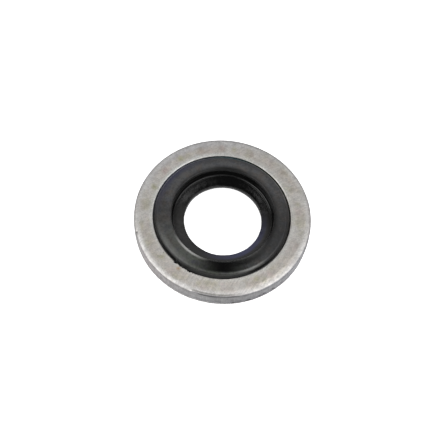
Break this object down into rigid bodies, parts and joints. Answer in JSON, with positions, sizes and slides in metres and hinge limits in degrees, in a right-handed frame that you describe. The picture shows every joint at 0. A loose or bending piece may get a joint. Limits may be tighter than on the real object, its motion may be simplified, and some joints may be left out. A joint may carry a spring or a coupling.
{
  "type": "bonded sealing washer",
  "caption": "Self-centring bonded seal: flat steel ring with a black rubber lip moulded into its bore and a thin inner fin that grips the screw.",
  "frame": {"origin": "centre of the hole, halfway through the thickness", "axes": "+Z along the hole's axis, out of the face whose outer edge is rounded"},
  "size_m": [0.011, 0.011, 0.0016],
  "materials": {
    "steel": "satin blanked and plated steel with a rounded upper edge and a grained rim",
    "rubber": "satin moulded black rubber"
  },
  "bodies": {
    "root": {"steel_washer": "steel", "rubber_seal": "rubber"}
  },
  "joints": []
}
